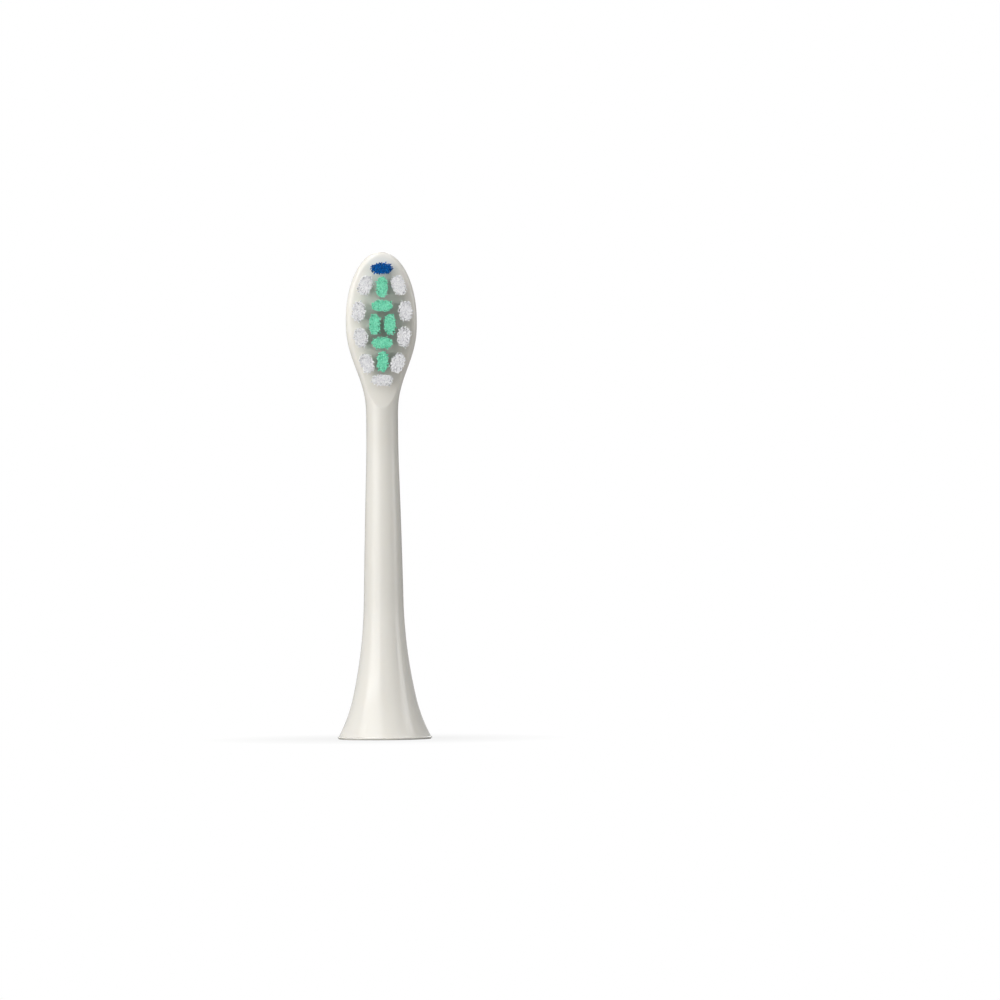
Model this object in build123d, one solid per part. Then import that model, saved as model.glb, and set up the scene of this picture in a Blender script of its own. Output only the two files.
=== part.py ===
from build123d import *
import math
import os

# Electric toothbrush head, in millimetres.
# The stem's axis is Z, the skirt's rim lies on z = 0, and the bristles point to -Y.

# Heights, stacked from the rim to the tip
skirt_height = 22.5        # rim to waist, where the flare ends
stem_length = 24.0         # waist to neck, a slow taper
neck_length = 5.5          # straight and round
shoulder_length = 16.0     # neck to the widest line of the head
tip_length = 11.0          # widest line to the tip

# Widths of the moulding
rim_diameter = 15.4
waist_diameter = 6.43
neck_diameter = 5.16
head_width = 11.5

# Flare and rim bead
flare_height = 6.8         # where the flare turns out more sharply
flare_diameter = 10.24     # width there
stem_bulge = 0.04          # how far the taper swells past a straight line
bead_height = 0.5
bead_edge = 0.28           # height of the bead's edge
bead_step = 0.27           # how far the edge stands out from the flare
bead_foot = 0.25           # how far the bead slants in under its edge
skirt_wall = 1.3

# Head plate
face_offset = 1.65         # bristle face in front of the stem's axis
back_offset = 2.3          # back of the head behind the stem's axis
edge_offset = 0.8          # widest line of the section in front of the axis
tip_round = 6.0            # length over which the section closes at the tip
back_fullness = 0.62       # squareness of the back's section
run_out_angle = 21.5       # slope of the ramp from the face up to the neck
run_out_rise = 1.7         # foot of the ramp above the neck's top
run_out_blend = 4.0        # radius between face and ramp

# Tufts
tuft_length = 3.1
tuft_width = 1.55
tuft_web = 0.69            # plastic between neighbouring holes of the middle column
twin_web = 0.87            # plastic between the two middle tufts
bristle_height = 9.5       # above the face
tuft_spread = 0.2          # how much wider a tuft is at its tips, on each side
tuft_corner = 0.45         # cut across the corners of a tuft
hole_depth = 2.2
tuft_clearance = 0.02
side_pitch = 4.2           # spacing of the side rows along the head
side_insets = [2.07, 1.87, 2.11, 1.95]  # tuft centre to the head's outline, tip row first
pattern_drop = 0.6         # middle of the tufts below the widest line of the head

# Anchors
anchor_thickness = 0.3
anchor_height = 1.2
anchor_bite = 0.2          # how far an anchor cuts into the plastic at each end
fold_depth = 0.4           # bristles folded under an anchor

# Drive socket and spring
shaft_bore = 3.5           # diameter of the round guide bore
key_bore = 3.0             # diameter of the keyed stretch above it
socket_wall = 0.6
socket_clearance = 0.02
socket_recess = 5.0        # socket mouth above the rim
socket_shoulder = 9.0      # roof of the skirt's hollow, where the collar seats
socket_height = 18.0       # mouth to closed end
socket_end = 1.0           # closed end of the bore
guide_length = 10.0        # round stretch of the bore
key_flat = 1.2             # flat of the keyed stretch, from the axis
lead_in = 0.4
collar_diameter = 6.4
rib_thickness = 0.8
rib_count = 4
spring_length = 5.4
spring_width = 1.8
spring_thickness = 0.25
spring_grip = 0.15         # how far the spring stands past the key flat
spring_clearance = 0.04

# Derived sizes
waist_height = skirt_height
neck_foot = waist_height + stem_length
neck_height = neck_foot + neck_length
blend_foot = neck_height - neck_length / 4
head_height = neck_height + shoulder_length
top_height = head_height + tip_length
pattern_height = head_height - pattern_drop
rim_radius = rim_diameter / 2
waist_radius = waist_diameter / 2
neck_radius = neck_diameter / 2
bore_radius = shaft_bore / 2
socket_radius = bore_radius + socket_wall
seat_radius = socket_radius + socket_clearance
socket_top = socket_recess + socket_height
seat_top = socket_top + socket_clearance
key_start = socket_recess + guide_length
key_end = socket_top - socket_end
circle_handle = 4 / 3 * (math.sqrt(2) - 1)
reach = top_height         # larger than anything that is cut

face_plane = Plane(origin=(0, -face_offset, 0), x_dir=(1, 0, 0), z_dir=(0, -1, 0))
side_plane = Plane.YZ


def flare_corners(inset):
    """Waist, turn and foot of the flare as radius and height, moved in by a wall thickness."""
    waist = (waist_radius - inset, waist_height)
    turn = (flare_diameter / 2 - inset, flare_height)
    foot = (rim_radius - bead_step - inset, bead_height)
    return waist, turn, foot


def revolved(edges):
    """Turn a closed outline, drawn as radius and height, about the stem's axis."""
    return revolve(Plane.XZ * make_face(edges), Axis.Z)


def stem_solid():
    """Bead, flare of two tangent arcs, taper and the straight neck up to the foot of the loft."""
    waist, turn, foot = flare_corners(0)
    neck = (neck_radius, neck_foot)
    taper = SagittaArc(neck, waist, stem_bulge)
    upper = TangentArc(waist, turn, tangent=taper % 1)
    lower = TangentArc(turn, foot, tangent=upper % 1)
    bead = Polyline(foot, (rim_radius, bead_edge), (rim_radius - bead_foot, 0), (0, 0))
    stem = Polyline((0, 0), (0, blend_foot), (neck_radius, blend_foot), neck)
    return revolved(taper + upper + lower + bead + stem)


def skirt_hollow(clearance):
    """The room inside the skirt up to the socket's shoulder, in two cones, less a clearance."""
    waist, turn, foot = flare_corners(skirt_wall + clearance)
    mouth = (foot[0], -bead_height)
    inside = Polyline(mouth, foot, turn, waist, (0, waist_height), (0, -bead_height), mouth)
    roof = Pos(0, 0, socket_shoulder) * Cylinder(
        rim_radius, reach, align=(Align.CENTER, Align.CENTER, Align.MIN)
    )
    return revolved(inside) - roof


def shoulder_share(height):
    """0 on the stem and 1 on the head, with no jump in slope or curvature at either end."""
    share = min(max((height - neck_height) / shoulder_length, 0), 1)
    return share ** 3 * (share * (6 * share - 15) + 10)


def half_width(height):
    """The head's outline seen from the front: an ellipse above its widest line."""
    if height > head_height:
        return head_width / 2 * math.sqrt(1 - ((height - head_height) / tip_length) ** 2)
    return neck_radius + (head_width / 2 - neck_radius) * shoulder_share(height)


def outline_lean(height):
    """Angle of the outline from vertical, positive where it closes towards the tip."""
    step = 0.01
    return math.degrees(math.atan2(half_width(height - step) - half_width(height + step), 2 * step))


def neck_wire(height):
    """A round section of the neck, in four quarters."""
    quarters = [CenterArc((0, 0, height), neck_radius, -90 * step, -90) for step in range(4)]
    return Wire(quarters)


def head_wire(height):
    """One section of shoulder or head: four quarter curves about its widest line."""
    wide = half_width(height)
    share = shoulder_share(height)
    into_tip = max(height - (top_height - tip_round), 0) / tip_round
    close = math.sqrt(1 - into_tip ** 2)
    edge = -edge_offset * share
    front = edge - (neck_radius + edge) * close
    back = edge + (neck_radius + (back_offset - neck_radius) * share - edge) * close
    fullness = circle_handle + (back_fullness - circle_handle) * share

    def quarter(side, depth, handle):
        start = (side, edge, height)
        middle = (side, edge + (depth - edge) * handle, height)
        ending = (side * handle, depth, height)
        return Bezier(start, middle, ending, (0, depth, height))

    return Wire([
        quarter(wide, front, circle_handle),
        quarter(-wide, front, circle_handle),
        quarter(-wide, back, fullness),
        quarter(wide, back, fullness),
    ])


def head_solid():
    """Neck and head lofted from round sections to the closed tip."""
    neck = [blend_foot + (neck_height - blend_foot) * step / 3 for step in range(4)]
    shoulder = [neck_height + shoulder_length * step / 11 for step in range(1, 12)]
    angles = [12, 24, 36, 47, 57, 66, 74, 81]
    tip = [head_height + tip_length * math.sin(math.radians(angle)) for angle in angles]
    sections = [neck_wire(height) for height in neck]
    sections += [head_wire(height) for height in shoulder + tip]
    return Solid.make_loft(sections + [Vertex(0, -edge_offset, top_height)])


def face_cutter():
    """What is trimmed off in front: the bristle face and its ramp out to the neck."""
    slope = math.tan(math.radians(run_out_angle))
    foot = neck_height + run_out_rise
    ramp_top = foot + (neck_radius - face_offset) / slope
    ramp_foot = foot - (reach - neck_radius) / slope
    path = FilletPolyline(
        (-reach, ramp_foot), (-face_offset, ramp_top), (-face_offset, top_height + reach),
        radius=run_out_blend,
    )
    close = Polyline(path @ 1, (-reach, top_height + reach), path @ 0)
    return extrude(side_plane * make_face(path + close), head_width, both=True)


def tuft_sites():
    """Name, centre across, centre up and turn of each tuft, seen from the front."""
    pitch = (tuft_length + tuft_width) / 2 + tuft_web
    twin = (tuft_width + twin_web) / 2
    column = [
        ("tuft_tip", 0, 3 * pitch, 0),
        ("tuft_upper_post", 0, 2 * pitch, 90),
        ("tuft_upper_bar", 0, pitch, 0),
        ("tuft_twin_left", -twin, 0, 90),
        ("tuft_twin_right", twin, 0, 90),
        ("tuft_lower_bar", 0, -pitch, 0),
        ("tuft_lower_post", 0, -2 * pitch, 90),
        ("tuft_heel", 0, -3 * pitch, 0),
    ]
    sites = [(name, across, pattern_height + up, turn) for name, across, up, turn in column]
    middle_row = (len(side_insets) - 1) / 2
    for row, inset in enumerate(side_insets):
        height = pattern_height + side_pitch * (middle_row - row)
        lean = outline_lean(height)
        across = half_width(height) - inset / math.cos(math.radians(lean))
        sites.append((f"tuft_left_{row + 1}", -across, height, 90 - lean))
        sites.append((f"tuft_right_{row + 1}", across, height, 90 + lean))
    return sites


def site_plane(across, height, turn):
    """The face at a tuft, with its x along the tuft's length and its z out of the face."""
    return face_plane * Location((across, height, 0), (0, 0, turn))


def tuft_prism(clearance, height):
    """A straight oblong with its corners cut, standing on the floor of a hole."""
    oblong = Rectangle(tuft_length - 2 * clearance, tuft_width - 2 * clearance)
    outline = chamfer(oblong.vertices(), tuft_corner)
    return extrude(Pos(0, 0, -hole_depth) * outline, height)


def anchor_plate():
    """A thin plate on edge across the root of a tuft."""
    return Pos(0, 0, fold_depth - hole_depth) * Box(
        tuft_length + 2 * anchor_bite, anchor_thickness, anchor_height,
        align=(Align.CENTER, Align.CENTER, Align.MIN),
    )


def tuft_solid():
    """A bundle of bristles: straight in its hole, spread above it, folded round its anchor."""
    long = tuft_length - 2 * tuft_clearance
    wide = tuft_width - 2 * tuft_clearance
    brush = Wedge(
        long + 2 * tuft_spread, bristle_height, wide + 2 * tuft_spread,
        tuft_spread, tuft_spread, long + tuft_spread, wide + tuft_spread,
    )
    brush = Pos(0, 0, bristle_height / 2) * Rot(-90, 0, 0) * brush
    tips = brush.faces().sort_by(Axis.Z)[-1].edges()
    roots = brush.faces().sort_by(Axis.Z)[0].edges()
    brush = chamfer(brush.edges() - tips - roots, tuft_corner)
    return tuft_prism(tuft_clearance, hole_depth) + brush - anchor_plate()


def head_body(sites):
    """The moulding: stem and head, trimmed to the face, hollowed and drilled."""
    body = stem_solid() + head_solid() - face_cutter()
    seat = Pos(0, 0, seat_top / 2) * Cylinder(seat_radius, seat_top)
    body -= skirt_hollow(0)
    body -= seat
    hole = tuft_prism(0, reach)
    plate = anchor_plate()
    for name, across, height, turn in sites:
        place = site_plane(across, height, turn)
        body -= place * hole
        body -= place * plate
    return body


def spring_solid():
    """A leaf bowed in from the seat's wall, through the socket's window, to the key flat."""
    middle = (key_start + key_end) / 2
    inner = key_flat - spring_grip
    outer_end = math.sqrt(seat_radius ** 2 - (spring_width / 2) ** 2) - spring_clearance
    inner_end = outer_end - spring_thickness
    low = middle - spring_length / 2
    high = middle + spring_length / 2
    inside = ThreePointArc((inner_end, low), (inner, middle), (inner_end, high))
    outside = ThreePointArc((outer_end, low), (inner + spring_thickness, middle), (outer_end, high))
    ends = [Line(inside @ 0, outside @ 0), Line(inside @ 1, outside @ 1)]
    return extrude(side_plane * make_face([inside, outside] + ends), spring_width / 2, both=True)


def drive_socket():
    """The sleeve on the drive shaft: barrel, collar with ribs, keyed bore and spring window."""
    up = (Align.CENTER, Align.CENTER, Align.MIN)
    collar_height = socket_shoulder - socket_recess
    foot = Pos(0, 0, socket_recess)
    collar = foot * Cylinder(collar_diameter / 2, collar_height, align=up)
    rib = foot * Box(rim_diameter, rib_thickness, collar_height, align=up)
    for step in range(rib_count // 2):
        collar += Rot(0, 0, 360 / rib_count * (step + 0.5)) * rib
    collar &= skirt_hollow(socket_clearance)
    body = collar + foot * Cylinder(socket_radius, socket_height, align=up)
    guide = Cylinder(bore_radius, guide_length, align=up)
    flat = Pos(0, key_flat, 0) * Box(
        key_bore, key_bore, key_end - key_start, align=(Align.CENTER, Align.MIN, Align.MIN)
    )
    keyed = Pos(0, 0, key_start) * (Cylinder(key_bore / 2, key_end - key_start, align=up) - flat)
    mouth = Cone(bore_radius + lead_in, bore_radius, lead_in, align=up)
    window = Pos(0, 0, (key_start + key_end) / 2) * Box(
        spring_width + 2 * spring_clearance, seat_radius, spring_length + 2 * spring_clearance,
        align=(Align.CENTER, Align.MIN, Align.CENTER),
    )
    return body - foot * guide - foot * mouth - keyed - window


def main():
    os.makedirs("parts", exist_ok=True)
    sites = tuft_sites()
    nodes = {
        "head_body": head_body(sites),
        "drive_socket": drive_socket(),
        "grip_spring": spring_solid(),
    }
    plate = anchor_plate()
    nodes["tuft_anchors"] = Compound([
        site_plane(across, height, turn) * plate for name, across, height, turn in sites
    ])
    tuft = tuft_solid()
    for name, across, height, turn in sites:
        nodes[name] = site_plane(across, height, turn) * tuft
    for name, shape in nodes.items():
        export_step(shape, f"parts/{name}.step")


main()
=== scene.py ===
import bpy
import math
import numpy as np
from mathutils import Matrix, Vector


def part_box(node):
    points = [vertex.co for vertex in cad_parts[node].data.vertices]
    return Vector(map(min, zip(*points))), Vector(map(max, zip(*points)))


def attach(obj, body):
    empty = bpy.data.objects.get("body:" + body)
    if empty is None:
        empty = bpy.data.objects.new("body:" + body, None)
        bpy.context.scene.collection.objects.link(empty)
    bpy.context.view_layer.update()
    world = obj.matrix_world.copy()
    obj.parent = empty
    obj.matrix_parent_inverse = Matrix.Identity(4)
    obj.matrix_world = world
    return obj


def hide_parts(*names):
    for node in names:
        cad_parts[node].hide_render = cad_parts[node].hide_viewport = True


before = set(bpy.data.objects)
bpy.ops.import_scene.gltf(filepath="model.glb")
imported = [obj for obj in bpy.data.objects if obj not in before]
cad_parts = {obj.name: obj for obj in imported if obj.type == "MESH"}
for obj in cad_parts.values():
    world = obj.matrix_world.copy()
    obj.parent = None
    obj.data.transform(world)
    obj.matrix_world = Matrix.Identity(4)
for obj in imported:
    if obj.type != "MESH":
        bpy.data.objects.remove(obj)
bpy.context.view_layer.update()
scene = bpy.context.scene
scene.view_settings.view_transform = "Standard"
mm = 0.001  # settings are in millimetres, except the stage and the lamps
print("frame:", len(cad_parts), "nodes")

cameraSettings = {
    "lens": 1200.0,            # a very long lens on a 36 mm sensor, almost without perspective
    "sensor": 36.0,
    "clipEnd": 20.0,           # metres
    "azimuth": -1.0,           # seen a little from the left
    "elevation": 1.3,
    "roll": 0.5,               # the stem leans a little to the left
    "pixel": 0.1621,           # millimetres of the object in one pixel
    "picture": 1000,
    "middle": (0.0, 0.0, 39.5),
    "spot": (382.8, 495.3),    # pixel on which the middle falls
}


def makeCamera(s):
    # Right, up and forward axes from azimuth and elevation, turned by the roll; the camera stands back
    # from the object's middle along them, so that the middle falls on its pixel.
    az, el, roll = (math.radians(s[k]) for k in ("azimuth", "elevation", "roll"))
    right = Vector((math.cos(az), math.sin(az), 0))
    forward = Vector((-math.sin(az) * math.cos(el), math.cos(az) * math.cos(el), -math.sin(el)))
    up = right.cross(forward)
    rightRolled = right * math.cos(roll) - up * math.sin(roll)
    upRolled = up * math.cos(roll) + right * math.sin(roll)
    half = s["picture"] / 2
    across = (s["spot"][0] - half) * s["pixel"]
    above = (half - s["spot"][1]) * s["pixel"]
    distance = s["pixel"] * s["picture"] * s["lens"] / s["sensor"]
    place = Vector(s["middle"]) - rightRolled * across - upRolled * above - forward * distance
    camera = bpy.data.cameras.new("camera")
    camera.lens = s["lens"]
    camera.sensor_width = s["sensor"]
    camera.clip_end = s["clipEnd"]
    holder = bpy.data.objects.new("camera", camera)
    scene.collection.objects.link(holder)
    turn = Matrix((rightRolled, upRolled, -forward)).transposed().to_4x4()
    holder.matrix_world = Matrix.Translation(place * mm) @ turn
    scene.camera = holder


makeCamera(cameraSettings)
print("camera set")


def hexColour(code):
    # sRGB hex to linear: the low part is divided by 12.92, the rest follows a power of 2.4.
    value = np.array([int(code[k:k + 2], 16) for k in (1, 3, 5)]) / 255
    linear = np.where(value <= 0.04045, value / 12.92, ((value + 0.055) / 1.055) ** 2.4)
    return tuple(float(v) for v in linear) + (1.0,)


def addNode(tree, kind, values=None, links=None):
    # One node: values go to its sockets, by name or number, or to its own properties, and links come
    # from other nodes' outputs.
    node = tree.nodes.new(kind)
    for key, value in (values or {}).items():
        if isinstance(key, int) or key in node.inputs:
            node.inputs[key].default_value = value
        else:
            setattr(node, key, value)
    for key, output in (links or {}).items():
        tree.links.new(output, node.inputs[key])
    return node


def newMaterial(name):
    # An empty material, its node tree and its output.
    material = bpy.data.materials.new(name)
    material.use_nodes = True
    tree = material.node_tree
    tree.nodes.clear()
    return material, tree, addNode(tree, "ShaderNodeOutputMaterial")


def perMetre(size):
    # Noise scale whose cells are about this many millimetres wide.
    return 1 / (size * mm)


mixFirst, mixSecond, mixResult = 6, 7, 2  # a Mix node's two colour sockets and its colour output
plasticSettings = {
    "ior": 1.53,
    "flow": 14.0,                      # width of the drifts in tone
    "glossSpread": 0.03,               # how far roughness drifts with them, each way
    "grainStrength": 0.06, "grainDepth": 0.02,
    "scatterDepth": 0.6, "scatterTint": (1.0, 0.85, 0.65),   # red light goes deepest
}
nylonSettings = {
    "ior": 1.53, "roughness": 0.45, "specular": 0.12,
    "paintedLightStart": 0.55, "paintedLightFull": 0.97,  # shares of a strand's length over which the painted light of the pale root gives way to the strand's own tone
}
metalSettings = {
    "lineSpacing": 0.08, "lineShrink": 0.05,   # the lines are twenty times as long as wide
    "glossSpread": 0.08,
}


def mouldedPlastic(name, pale, deep, roughness, grain, scatter):
    # Injection-moulded plastic: a soft gloss, tones that drift a little with the flow of the melt, and
    # a fine grain from the mould, drawn coarser than life, that takes the edge off the highlights.
    s = plasticSettings
    material, tree, output = newMaterial(name)
    place = addNode(tree, "ShaderNodeTexCoord").outputs["Object"]
    flow = addNode(
        tree, "ShaderNodeTexNoise", {"Scale": perMetre(s["flow"]), "Detail": 2.0}, {"Vector": place},
    )
    tone = addNode(
        tree, "ShaderNodeMix",
        {"data_type": "RGBA", mixFirst: hexColour(pale), mixSecond: hexColour(deep)},
        {"Factor": flow.outputs["Fac"]},
    )
    gloss = addNode(
        tree, "ShaderNodeMapRange",
        {"To Min": roughness - s["glossSpread"], "To Max": roughness + s["glossSpread"]},
        {"Value": flow.outputs["Fac"]},
    )
    fine = addNode(
        tree, "ShaderNodeTexNoise", {"Scale": perMetre(grain), "Detail": 3.0}, {"Vector": place},
    )
    bump = addNode(
        tree, "ShaderNodeBump", {"Strength": s["grainStrength"], "Distance": s["grainDepth"] * mm},
        {"Height": fine.outputs["Fac"]},
    )
    shader = addNode(
        tree, "ShaderNodeBsdfPrincipled",
        {"IOR": s["ior"], "Subsurface Weight": scatter, "Subsurface Scale": s["scatterDepth"] * mm,
         "Subsurface Radius": s["scatterTint"]},
        {"Base Color": tone.outputs[mixResult], "Roughness": gloss.outputs["Result"],
         "Normal": bump.outputs["Normal"]},
    )
    tree.links.new(shader.outputs["BSDF"], output.inputs["Surface"])
    return material


def drawnNylon(name, pale, deep, root):
    # Drawn nylon filament, cut flat: each strand has its own tone. Towards the root the strand is painted
    # paler:
    # painted light that stands in for the light the translucent nylon lets through into the gaps between
    # the tufts.
    s = nylonSettings
    material, tree, output = newMaterial(name)
    strand = addNode(tree, "ShaderNodeAttribute", {"attribute_name": "strand"})
    tone = addNode(
        tree, "ShaderNodeMix",
        {"data_type": "RGBA", mixFirst: hexColour(deep), mixSecond: hexColour(pale)},
        {"Factor": strand.outputs["Fac"]},
    )
    # Painted light: low on the strand the pale root colour stands in for light let through the nylon into
    # the gaps.
    rise = addNode(tree, "ShaderNodeAttribute", {"attribute_name": "rise"})
    paintedLight = addNode(
        tree, "ShaderNodeMapRange", {"From Min": s["paintedLightStart"], "From Max": s["paintedLightFull"]},
        {"Value": rise.outputs["Fac"]},
    )
    colour = addNode(
        tree, "ShaderNodeMix", {"data_type": "RGBA", mixFirst: hexColour(root)},
        {"Factor": paintedLight.outputs["Result"], mixSecond: tone.outputs[mixResult]},
    )
    shader = addNode(
        tree, "ShaderNodeBsdfPrincipled",
        {"IOR": s["ior"], "Roughness": s["roughness"], "Specular IOR Level": s["specular"]},
        {"Base Color": colour.outputs[mixResult]},
    )
    tree.links.new(shader.outputs["BSDF"], output.inputs["Surface"])
    return material


def rolledMetal(name, colour, roughness):
    # Rolled and cut metal: lines along the rolling direction, drawn coarser than life, break up the
    # reflections.
    s = metalSettings
    material, tree, output = newMaterial(name)
    place = addNode(tree, "ShaderNodeTexCoord").outputs["Object"]
    drawn = addNode(tree, "ShaderNodeMapping", {"Scale": (1.0, 1.0, s["lineShrink"])}, {"Vector": place})
    lines = addNode(
        tree, "ShaderNodeTexNoise", {"Scale": perMetre(s["lineSpacing"]), "Detail": 2.0},
        {"Vector": drawn.outputs["Vector"]},
    )
    gloss = addNode(
        tree, "ShaderNodeMapRange",
        {"To Min": roughness - s["glossSpread"], "To Max": roughness + s["glossSpread"]},
        {"Value": lines.outputs["Fac"]},
    )
    shader = addNode(
        tree, "ShaderNodeBsdfPrincipled", {"Metallic": 1.0, "Base Color": hexColour(colour)},
        {"Roughness": gloss.outputs["Result"]},
    )
    tree.links.new(shader.outputs["BSDF"], output.inputs["Surface"])
    return material


ivoryPlastic = mouldedPlastic(
    "ivory_moulded_polypropylene", pale="#e9e6df", deep="#e3e0d8", roughness=0.20, grain=0.12, scatter=0.10,
)
socketPlastic = mouldedPlastic(
    "white_moulded_acetal", pale="#e6e4de", deep="#dedcd5", roughness=0.38, grain=0.15, scatter=0.0,
)
# The root colours are painted light: paler than the strands, they stand in for light that the nylon lets
# through into the gaps between the tufts.
whiteNylon = drawnNylon("white_drawn_nylon", pale="#ffffff", deep="#dcdce0", root="#ffffff")
greenNylon = drawnNylon("green_drawn_nylon", pale="#9cf4d3", deep="#66d3ab", root="#bcf2dc")
blueNylon = drawnNylon("blue_drawn_nylon", pale="#006cc2", deep="#003874", root="#b4d6f4")
springSteel = rolledMetal("rolled_spring_steel", "#c4c5c7", roughness=0.30)
anchorBrass = rolledMetal("rolled_brass", "#c9a75a", roughness=0.34)
print("materials made")


def makePiece(name, points, quads, caps, capsSmooth, material):
    # A mesh from point rows and face rows, turned inside out if its signed volume is negative.
    corners = points[quads]
    volume = np.einsum("ij,ij->", corners[:, 0], np.cross(corners[:, 1], corners[:, 2]))
    volume += np.einsum("ij,ij->", corners[:, 0], np.cross(corners[:, 2], corners[:, 3]))
    faces = [quads] + list(caps)
    if volume < 0:
        faces = [rows[:, ::-1] for rows in faces]
    mesh = bpy.data.meshes.new(name)
    mesh.from_pydata((points * mm).tolist(), [], sum((rows.tolist() for rows in faces), []))
    mesh.polygons.foreach_set("use_smooth", (np.arange(len(mesh.polygons)) < len(quads)) | capsSmooth)
    mesh.update()
    piece = bpy.data.objects.new(name, mesh)
    scene.collection.objects.link(piece)
    mesh.materials.append(material)
    return piece


def gridFaces(rows, columns):
    # Quads between neighbouring rows, closed round the columns.
    row = np.arange(rows - 1)[:, None] * columns
    below = row + columns
    here = np.arange(columns)[None]
    after = (here + 1) % columns
    return np.stack([row + here, row + after, below + after, below + here], axis=2).reshape(-1, 4)


def fanFaces(first, columns, pole, downward):
    # Triangles from one row to a pole.
    here = first + np.arange(columns)
    after = first + (np.arange(columns) + 1) % columns
    poles = np.full(columns, pole)
    return np.stack([after, here, poles] if downward else [here, after, poles], axis=1)


bodySettings = {
    "tipHeight": 79.0, "headHeight": 68.0, "neckHeight": 52.0, "neckFoot": 46.5, "waistHeight": 22.5,
    "neckRadius": 2.58, "waistRadius": 3.215, "headHalf": 5.75,
    "stemBulge": 0.04,                            # how far the taper swells past a straight line
    "neckBlend": 3.0, "blendSteps": 25,           # half the run averaged to smooth the neck's corner
    "blendReach": 8.0,                            # how far from that corner the average is used
    "turnHeight": 6.8, "turnRadius": 5.12,        # where the flare turns out more sharply
    "rimRadius": 7.7, "beadStep": 0.27, "beadHeight": 0.5, "beadEdge": 0.28, "beadFoot": 0.25,
    "flareEnd": 0.85,                             # last row of the flare above the bead
    "wall": 1.3, "shoulder": 9.0, "seatRadius": 2.37, "seatTop": 23.02,
    "seatCap": 0.125,                             # last row in the seat's roof, a share of its radius
    "faceOffset": 1.65, "backOffset": 2.3, "edgeOffset": 0.8, "tipRound": 6.0, "backFullness": 0.62,
    "runOutAngle": 21.5, "runOutRise": 1.7, "runOutBlend": 0.35,
    "faceEdge": 0.20, "runOutEdge": 0.05,         # rounding of the face's outline, on head and ramp
    "noTrim": 99.0,                               # a depth that trims nothing
    "sideColumns": 30, "faceColumns": 20,         # points in a quarter section, beside and on the face
    "crowding": 1.5,                              # how much the columns crowd towards the outline
    "outlineRange": (0.25, 0.9),                  # limits of the outline's place on its quarter
    "lookupSteps": 400,                           # steps of the curve on which that place is looked up
    "tipRows": 84, "shoulderRows": 110, "stemRows": 96,
    "trimRows": 12,                               # rows of the stem that the ramp may reach
    "tipAngle": 88.6,                             # degrees from the widest line up to the first row
    "cornerCut": 0.07, "cornerRows": 6,           # small roundings at the rim
}
circleHandle = 4 / 3 * (math.sqrt(2) - 1)  # Bezier handle that makes a quarter circle


def shoulderShare(z, s):
    # 0 on the neck and 1 on the head, by 6 t^5 - 15 t^4 + 10 t^3.
    t = np.clip((z - s["neckHeight"]) / (s["headHeight"] - s["neckHeight"]), 0, 1)
    return t ** 3 * (t * (6 * t - 15) + 10)


def halfWidth(z, s):
    # Half an ellipse above the widest line, and below it the neck's radius plus a share of the rest.
    rise = np.clip((z - s["headHeight"]) / (s["tipHeight"] - s["headHeight"]), 0, 1)
    below = s["neckRadius"] + (s["headHalf"] - s["neckRadius"]) * shoulderShare(z, s)
    return np.where(z > s["headHeight"], s["headHalf"] * np.sqrt(1 - rise ** 2), below)


def tangentArc(start, heading, end):
    # The circle that leaves start along heading and passes through end: its centre lies on the normal,
    # at half the squared chord over the chord's share of that normal.
    chord = end - start
    normal = np.array([-heading[1], heading[0]])
    reach = chord.dot(chord) / (2 * chord.dot(normal))
    centre = start + normal * reach
    arm = end - centre
    leave = np.array([-arm[1], arm[0]]) / reach
    return centre, abs(reach), leave


def arcRadius(z, centre, radius):
    # The hollow side of a circle: its centre's distance from the axis less half its chord at each height.
    return centre[0] - np.sqrt(radius ** 2 - np.clip(centre[1] - z, 0, radius) ** 2)


def sharpStem(z, s):
    # A straight neck, a taper to the waist swelled by a parabola, then two arcs, each tangent to what is
    # above it.
    neck = np.array([s["neckRadius"], s["neckFoot"]])
    waist = np.array([s["waistRadius"], s["waistHeight"]])
    turn = np.array([s["turnRadius"], s["turnHeight"]])
    foot = np.array([s["rimRadius"] - s["beadStep"], s["beadHeight"]])
    run = neck[1] - waist[1]
    down = np.clip((neck[1] - z) / run, 0, 1)
    taper = neck[0] + (waist[0] - neck[0]) * down + 4 * s["stemBulge"] * down * (1 - down)
    heading = np.array([(waist[0] - neck[0] - 4 * s["stemBulge"]) / run, -1.0])
    upperCentre, upperRadius, leave = tangentArc(waist, heading / np.hypot(*heading), turn)
    lowerCentre, lowerRadius, leave = tangentArc(turn, leave, foot)
    upper = arcRadius(z, upperCentre, upperRadius)
    lower = arcRadius(z, lowerCentre, lowerRadius)
    return np.where(z > waist[1], taper, np.where(z > turn[1], upper, lower))


def stemRadius(z, s):
    # The stem, averaged over a few millimetres near the neck's foot, which smooths the slight corner.
    spread = np.linspace(-s["neckBlend"], s["neckBlend"], s["blendSteps"])
    smooth = sharpStem(z[:, None] + spread, s).mean(axis=1)
    return np.where(np.abs(z - s["neckFoot"]) < s["blendReach"], smooth, sharpStem(z, s))


def roundedPath(corners, cut, rows):
    # A path of straight runs whose inner corners are quadratic curves, cut back by the same length.
    before, here, after = corners[:-2], corners[1:-1], corners[2:]
    inward = here + (before - here) / np.linalg.norm(before - here, axis=1)[:, None] * cut
    onward = here + (after - here) / np.linalg.norm(after - here, axis=1)[:, None] * cut
    t = np.linspace(0, 1, rows)[None, :, None]
    curve = (1 - t) ** 2 * inward[:, None] + 2 * t * (1 - t) * here[:, None] + t ** 2 * onward[:, None]
    return np.vstack([corners[:1], curve.reshape(-1, 2), corners[-1:]])


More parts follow.
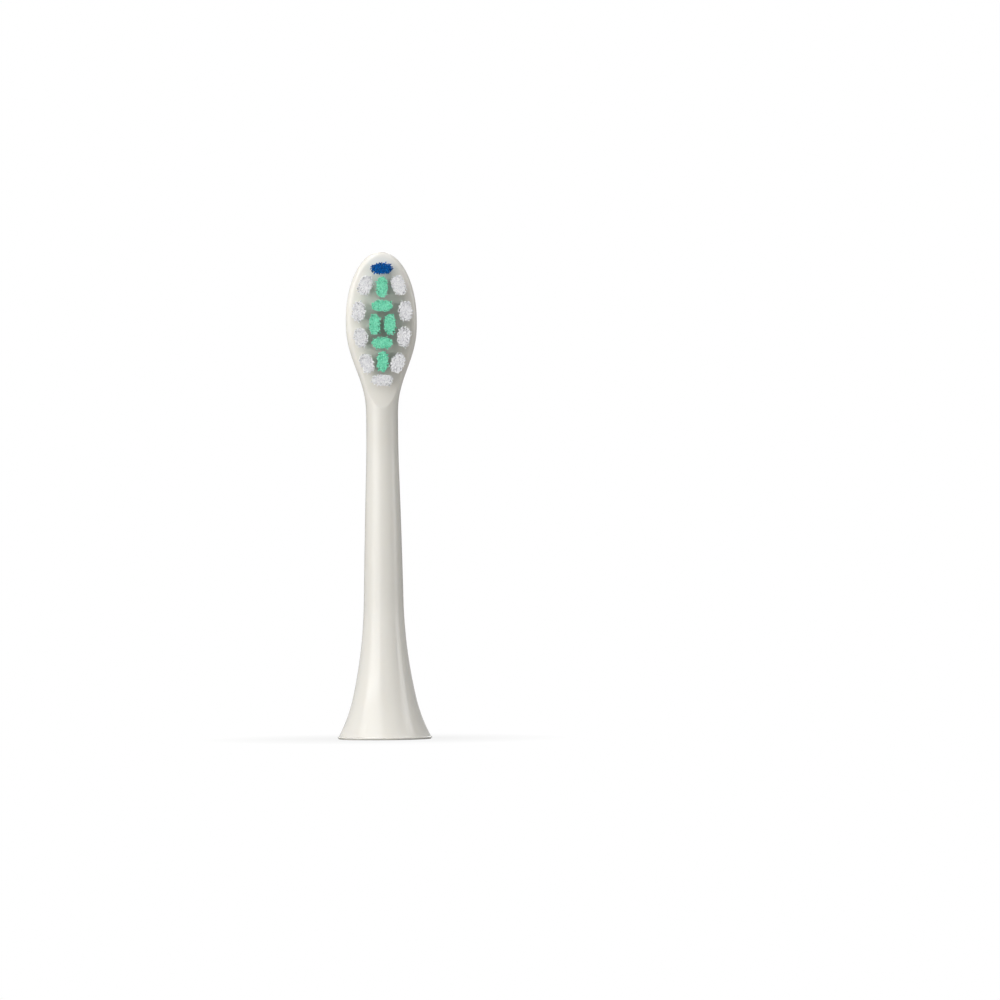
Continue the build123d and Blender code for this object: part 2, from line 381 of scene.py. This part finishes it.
def rimPath(flareEnd, s):
    # Radius and height from the end of the flare over the bead, round the rim and up the hollow.
    foot = s["rimRadius"] - s["beadStep"]
    turn = s["turnRadius"] - s["wall"]
    slope = (s["turnRadius"] - s["waistRadius"]) / (s["waistHeight"] - s["turnHeight"])
    corners = np.array([
        flareEnd,
        [foot, s["beadHeight"]],
        [s["rimRadius"], s["beadEdge"]],
        [s["rimRadius"] - s["beadFoot"], 0],
        [foot - s["wall"], 0],
        [foot - s["wall"], s["beadHeight"]],
        [turn, s["turnHeight"]],
        [turn - slope * (s["shoulder"] - s["turnHeight"]), s["shoulder"]],
        [s["seatRadius"], s["shoulder"]],
        [s["seatRadius"], s["seatTop"]],
        [s["seatRadius"] * s["seatCap"], s["seatTop"]],
    ])
    return roundedPath(corners, s["cornerCut"], s["cornerRows"])[1:]


def bodyProfile(s):
    # Height and half width of each row: the tip by equal angles, the shoulder and the stem by equal
    # steps, then the rim and the hollow.
    angle = np.radians(np.linspace(s["tipAngle"], 0, s["tipRows"]))
    tip = s["headHeight"] + (s["tipHeight"] - s["headHeight"]) * np.sin(angle)
    shoulder = np.linspace(s["headHeight"], s["neckHeight"], s["shoulderRows"])[1:]
    stem = np.linspace(s["neckHeight"], s["flareEnd"], s["stemRows"])[1:]
    head = np.concatenate([tip, shoulder])
    stemWidth = stemRadius(stem, s)
    rim = rimPath([stemWidth[-1], stem[-1]], s)
    z = np.concatenate([head, stem, rim[:, 1]])
    wide = np.concatenate([halfWidth(head, s), stemWidth, rim[:, 0]])
    return z, wide, len(head)


def softLess(a, b, blend):
    # The lesser of two values, rounded over where they cross.
    h = np.clip(0.5 + 0.5 * (b - a) / blend, 0, 1)
    return b * (1 - h) + a * h - blend * h * (1 - h)


def faceTrim(z, headRows, s):
    # Depth of the bristle face, or of the ramp on which it runs out to the neck, with the corner between
    # them rounded; rows below the ramp aren't trimmed.
    rampFoot = s["neckHeight"] + s["runOutRise"]
    ramp = s["neckRadius"] + (rampFoot - z) * math.tan(math.radians(s["runOutAngle"]))
    trim = -softLess(-ramp, np.full(len(z), -s["faceOffset"]), s["runOutBlend"])
    return np.where(np.arange(len(z)) < headRows + s["trimRows"], trim, s["noTrim"])


def columnSteps(outline, s):
    # Curve parameters round a section, quarter by quarter: in front they crowd towards the face's
    # outline from both sides, and behind they are even.
    beside = 1 - (1 - np.arange(s["sideColumns"]) / s["sideColumns"]) ** s["crowding"]
    onFace = np.linspace(0, 1, s["faceColumns"] + 1) ** s["crowding"]
    front = np.concatenate([outline * beside, outline + (1 - outline) * onFace], axis=1)
    back = np.broadcast_to(np.linspace(0, 1, front.shape[1]), front.shape)
    return np.concatenate([front[:, :-1], front[:, :0:-1], back[:, :-1], back[:, :0:-1]], axis=1)


def bodySurface(s):
    # Rows run from the tip down the outside, round the rim and up the hollow; columns go round the
    # section, four quarter Bezier curves about its widest line. In front each row is trimmed to the
    # bristle face, and one column follows the face's outline.
    z, wide, headRows = bodyProfile(s)
    onHead = np.arange(len(z)) < headRows
    share = np.where(onHead, shoulderShare(z, s), 0)
    close = np.sqrt(1 - np.clip((z - s["tipHeight"] + s["tipRound"]) / s["tipRound"], 0, 1) ** 2)
    deep = np.where(onHead, s["neckRadius"], wide)
    edge = -s["edgeOffset"] * share
    front = edge - (deep + edge) * close
    back = edge + (deep + (s["backOffset"] - deep) * share - edge) * close
    full = circleHandle + (s["backFullness"] - circleHandle) * share
    trim = faceTrim(z, headRows, s)

    along = np.linspace(0, 1, s["lookupSteps"])
    rise = 3 * (1 - along) ** 2 * along * circleHandle + 3 * (1 - along) * along ** 2 + along ** 3
    outline = np.interp((trim + edge) / (edge - front), rise, along)
    t = columnSteps(np.clip(outline, *s["outlineRange"])[:, None], s)
    columns = s["sideColumns"] + s["faceColumns"]
    side = np.repeat([1.0, -1.0, -1.0, 1.0], columns)
    isFront = np.repeat([True, True, False, False], columns)
    handle = np.where(isFront, circleHandle, full[:, None])
    reach = np.where(isFront, front[:, None], back[:, None]) - edge[:, None]
    x = side * wide[:, None] * ((1 - t) ** 3 + 3 * (1 - t) ** 2 * t + 3 * (1 - t) * t ** 2 * handle)
    y = edge[:, None] + reach * (3 * (1 - t) ** 2 * t * handle + 3 * (1 - t) * t ** 2 + t ** 3)
    rounding = s["runOutEdge"] + (s["faceEdge"] - s["runOutEdge"]) * np.sqrt(share)
    y = -softLess(-y, trim[:, None], rounding[:, None])

    rows = np.stack([x, y, np.broadcast_to(z[:, None], x.shape)], axis=2).reshape(-1, 3)
    poles = np.array([[0, -s["edgeOffset"], s["tipHeight"]], [0, 0, s["seatTop"]]])
    return np.vstack([rows, poles]), len(z), len(side)


bodyPoints, bodyRows, bodyColumns = bodySurface(bodySettings)
tipPole = bodyRows * bodyColumns
bodyCaps = [
    fanFaces(0, bodyColumns, tipPole, downward=True),
    fanFaces(tipPole - bodyColumns, bodyColumns, tipPole + 1, downward=False),
]
bodyQuads = gridFaces(bodyRows, bodyColumns)
moulding = makePiece("moulding", bodyPoints, bodyQuads, bodyCaps, capsSmooth=True, material=ivoryPlastic)
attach(moulding, "root")
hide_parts("head_body")
print("moulding:", len(moulding.data.polygons), "faces")

tuftSettings = {
    "long": 3.06, "wide": 1.51,          # bundle in its hole
    "tip": (1.76, 1.01), "sideTip": (1.69, 1.19),   # half length and width of the fanned tips
    "outline": 2.4,                      # power of the tips' outline, 2 for an ellipse
    "height": 9.45, "unevenness": 0.12,  # trimmed length above the face
    "strand": 0.215, "pitch": 0.155,     # strand diameter and spacing at the tips
    "latticeSteps": 16, "latticeRows": 12,   # spots each way from the middle, before they are trimmed
    "latticeShift": 0.2,                 # most that a lattice is shifted, a share of the spacing
    "lean": 0.11,                        # how far a tip strays at the outside of the bundle
    "innerLean": 0.25,                   # share of that in the middle
    "bow": 0.05, "fanPower": 1.4,        # how a strand curves on its way to its tip
    "sides": 6,
    "along": [-0.05, 0.30, 0.62, 0.90, 0.990, 0.998],   # rings along a strand
    "girth": [1.0, 1.0, 1.0, 1.0, 1.0, 0.95],
    "slopeStep": 0.01,                   # step up and down over which the head's slope is taken
    "seed": 58,
}
tuftColours = {"tuft_tip": (blueNylon, "bristle_blue"), "tuft_heel": (whiteNylon, "bristle_white")}
tuftColours.update({
    "tuft_" + place: (greenNylon, "bristle_green")
    for place in ("upper_post", "upper_bar", "twin_left", "twin_right", "lower_bar", "lower_post")
})
standing = ("tuft_upper_post", "tuft_twin_left", "tuft_twin_right", "tuft_lower_post")


def tuftTurn(name, height, step):
    # Middle tufts lie across or stand; side tufts follow the slope of the head's outline.
    if name in tuftColours:
        return 90.0 if name in standing else 0.0
    around = halfWidth(np.array([height - step, height + step]), bodySettings)
    lean = math.degrees(math.atan2(around[0] - around[1], 2 * step))
    return 90 - lean if "left" in name else 90 + lean


def bundleSpots(s, fan, draw):
    # A triangular lattice trimmed to a rounded oval, and how far out each spot lies, 1 on the outline.
    step, row = np.meshgrid(
        np.arange(-s["latticeSteps"], s["latticeSteps"] + 1),
        np.arange(-s["latticeRows"], s["latticeRows"] + 1), indexing="ij",
    )
    shift = s["latticeShift"]
    a = (step + 0.5 * (row % 2) + draw.uniform(-shift, shift)) * s["pitch"]
    b = (row + draw.uniform(-shift, shift)) * s["pitch"] * math.sqrt(3) / 2
    spots = np.stack([a.ravel(), b.ravel()], axis=1)
    out = (np.abs(spots / (np.array(fan) - s["strand"] / 2)) ** s["outline"]).sum(axis=1)
    return spots[out < 1], out[out < 1]


def strandLines(s, fan, draw):
    # Slightly bowed lines from the spots in the hole to the tips, and the height along each; the tips
    # stand wider than the roots, and the outer ones stray more.
    tip, out = bundleSpots(s, fan, draw)
    root = tip * (np.array([s["long"], s["wide"]]) - s["strand"]) / 2 / np.array(fan)
    stray = s["innerLean"] + (1 - s["innerLean"]) * out[:, None] ** 2
    tip = tip + draw.normal(0, s["lean"], tip.shape) * stray
    length = s["height"] - s["unevenness"] * draw.random(len(tip)) ** 2
    bow = draw.normal(0, s["bow"], root.shape)
    along = np.array(s["along"] + [1.0])[None, :, None]
    share = np.clip(along, 0, 1) ** s["fanPower"]
    line = root[:, None] + (tip - root)[:, None] * share + bow[:, None] * (along * (1 - along))
    return line, along[..., 0] * length[:, None]


def tuftSurface(s, fan, across, height, turn, face, draw):
    # Each strand is a ring carried along its line and closed at both ends; the bundle is turned about
    # its middle and stands on the face. Tone and rise are values for the strands' colours.
    line, up = strandLines(s, fan, draw)
    count, levels = len(line), len(s["along"])
    turnAngle = np.arange(s["sides"]) * 2 * math.pi / s["sides"]
    ring = np.stack([np.cos(turnAngle), np.sin(turnAngle)], axis=1) * s["strand"] / 2
    flat = line[:, :-1, None] + ring[None, None] * np.array(s["girth"])[None, :, None, None]
    flatUp = np.broadcast_to(up[:, :-1, None, None], flat.shape[:3] + (1,))
    tube = np.concatenate([flat, flatUp], axis=3).reshape(count, -1, 3)
    ends = np.concatenate([line[:, -1:], up[:, -1:, None]], axis=2)
    a, b, h = np.concatenate([tube, ends], axis=1).reshape(-1, 3).T
    c, n = math.cos(math.radians(turn)), math.sin(math.radians(turn))
    points = np.stack([across + a * c - b * n, -face - h, height + a * n + b * c], axis=1)

    size = levels * s["sides"] + 1
    start = np.arange(count)[:, None, None] * size
    fans = fanFaces((levels - 1) * s["sides"], s["sides"], size - 1, downward=False)
    quads = (start + gridFaces(levels, s["sides"])[None]).reshape(-1, 4)
    tips = (start + fans[None]).reshape(-1, 3)
    roots = start[:, 0] + np.arange(s["sides"])[None, ::-1]
    tone = np.repeat(draw.random(count), size)
    rise = np.tile(np.append(np.repeat(s["along"], s["sides"]), 1.0), count)
    return points, quads, [tips, roots], tone, rise


draw = np.random.default_rng(tuftSettings["seed"])
strandFaces = 0
for name in sorted(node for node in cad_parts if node.startswith("tuft_") and node != "tuft_anchors"):
    low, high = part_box(name)
    across, height = (low.x + high.x) / 2 / mm, (low.z + high.z) / 2 / mm
    turn = tuftTurn(name, height, tuftSettings["slopeStep"])
    fan = tuftSettings["tip" if name in tuftColours else "sideTip"]
    points, quads, caps, tone, rise = tuftSurface(
        tuftSettings, fan, across, height, turn, bodySettings["faceOffset"], draw,
    )
    material, slot = tuftColours.get(name, (whiteNylon, "bristle_white"))
    bundleName = name.replace("tuft_", "bristles_")
    bundle = makePiece(bundleName, points, quads, caps, capsSmooth=False, material=material)
    bundle.data.attributes.new("strand", "FLOAT", "POINT").data.foreach_set("value", tone)
    bundle.data.attributes.new("rise", "FLOAT", "POINT").data.foreach_set("value", rise)
    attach(bundle, "root")
    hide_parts(name)
    strandFaces += len(bundle.data.polygons)
print("bristles:", strandFaces, "faces")

for name, material in {
    "drive_socket": socketPlastic, "grip_spring": springSteel, "tuft_anchors": anchorBrass,
}.items():
    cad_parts[name].material_slots[0].material = material
print("inner pieces finished")

stageSettings = {
    "floorSize": 12.0,         # metres
    "floorColour": "#acacaa",
    "paperNear": 0.15,         # share of lit paper in what is seen of the floor at the object
    "fade": (0.010, 0.030),    # metres from the axis over which the paper fades to plain white
    "ambient": 0.02,           # world light on the object
    "mirrored": 0.6,           # share of the white background that reflections show
    "floorMirrored": 0.05,     # share of the floor's plain white that reflections show
}
lampSettings = {               # metres and watts
    "key": {"place": (-0.46, -0.43, 0.54), "size": (0.84, 0.74), "power": 3.8, "mirrored": True},
    "core": {"place": (-0.46, -0.43, 0.07), "size": (0.62, 0.38), "power": 1.9, "mirrored": True},
    "fill": {"place": (-0.02, -1.10, 0.09), "size": (0.25, 0.25), "power": 2.14, "mirrored": False},
    "side": {"place": (0.56, -0.11, 0.22), "size": (0.23, 0.40), "power": 0.75, "mirrored": True},
    "roof": {"place": (0.30, -0.10, 0.58), "size": (0.36, 0.36), "power": 0.50, "mirrored": True},
    "back": {"place": (0.10, 1.10, 0.62), "size": (0.60, 0.60), "power": 5.0, "mirrored": True},
    "rear": {"place": (0.20, 1.10, 0.16), "size": (0.40, 0.40), "power": 3.0, "mirrored": False},
    "top": {"place": (-0.18, -0.06, 0.56), "size": (0.42, 0.30), "power": 1.00, "mirrored": True},
}
plainWhite = (1.0, 1.0, 1.0, 1.0)


def seenRays(tree, share):
    # 1 for camera and transmission rays, which show the background itself, and a share for glossy rays.
    rays = addNode(tree, "ShaderNodeLightPath").outputs
    glossy = addNode(
        tree, "ShaderNodeMath", {"operation": "MULTIPLY", 1: share}, {0: rays["Is Glossy Ray"]},
    )
    either = addNode(
        tree, "ShaderNodeMath", {"operation": "MAXIMUM"},
        {0: rays["Is Camera Ray"], 1: glossy.outputs[0]},
    )
    every = addNode(
        tree, "ShaderNodeMath", {"operation": "MAXIMUM"},
        {0: either.outputs[0], 1: rays["Is Transmission Ray"]},
    )
    return every.outputs[0]


def makeFloor(s):
    # A wide floor: matt paper that keeps the shadow, mixed with plain white for what is seen.
    half = s["floorSize"] / 2
    corners = [(-half, -half, 0), (half, -half, 0), (half, half, 0), (-half, half, 0)]
    mesh = bpy.data.meshes.new("floor")
    mesh.from_pydata(corners, [], [(0, 1, 2, 3)])
    floor = bpy.data.objects.new("floor", mesh)
    scene.collection.objects.link(floor)
    material, tree, output = newMaterial("white_matt_paper")
    paper = addNode(tree, "ShaderNodeBsdfDiffuse", {"Color": hexColour(s["floorColour"])})
    glow = addNode(tree, "ShaderNodeEmission", {"Color": plainWhite, "Strength": 1.0})
    place = addNode(tree, "ShaderNodeTexCoord").outputs["Object"]
    away = addNode(tree, "ShaderNodeVectorMath", {"operation": "LENGTH"}, {"Vector": place})
    white = addNode(
        tree, "ShaderNodeMapRange",
        {"From Min": s["fade"][0], "From Max": s["fade"][1], "To Min": 1 - s["paperNear"], "To Max": 1.0},
        {"Value": away.outputs["Value"]},
    )
    seen = addNode(
        tree, "ShaderNodeMath", {"operation": "MULTIPLY"},
        {0: seenRays(tree, s["floorMirrored"]), 1: white.outputs["Result"]},
    )
    blend = addNode(
        tree, "ShaderNodeMixShader", {},
        {"Fac": seen.outputs[0], 1: paper.outputs["BSDF"], 2: glow.outputs["Emission"]},
    )
    tree.links.new(blend.outputs["Shader"], output.inputs["Surface"])
    mesh.materials.append(material)


def makeWorld(s):
    # White where it is seen, a share of it in reflections, and a little light on the object.
    world = bpy.data.worlds.new("studio")
    world.use_nodes = True
    tree = world.node_tree
    tree.nodes.clear()
    level = addNode(
        tree, "ShaderNodeMapRange", {"To Min": s["ambient"], "To Max": 1.0},
        {"Value": seenRays(tree, s["mirrored"])},
    )
    sky = addNode(
        tree, "ShaderNodeBackground", {"Color": plainWhite}, {"Strength": level.outputs["Result"]},
    )
    addNode(tree, "ShaderNodeOutputWorld", {}, {"Surface": sky.outputs["Background"]})
    scene.world = world


def makeLamp(name, s):
    # A soft box turned towards the middle of the object.
    lamp = bpy.data.lights.new(name, "AREA")
    lamp.shape = "RECTANGLE"
    lamp.size, lamp.size_y = s["size"]
    lamp.energy = s["power"]
    holder = bpy.data.objects.new(name, lamp)
    holder.visible_glossy = s["mirrored"]
    scene.collection.objects.link(holder)
    aim = Vector(cameraSettings["middle"]) * mm - Vector(s["place"])
    turn = aim.to_track_quat("-Z", "Y").to_matrix().to_4x4()
    holder.matrix_world = Matrix.Translation(Vector(s["place"])) @ turn


makeFloor(stageSettings)
makeWorld(stageSettings)
for lampName, lampValues in lampSettings.items():
    makeLamp(lampName, lampValues)
print("stage and lamps set")
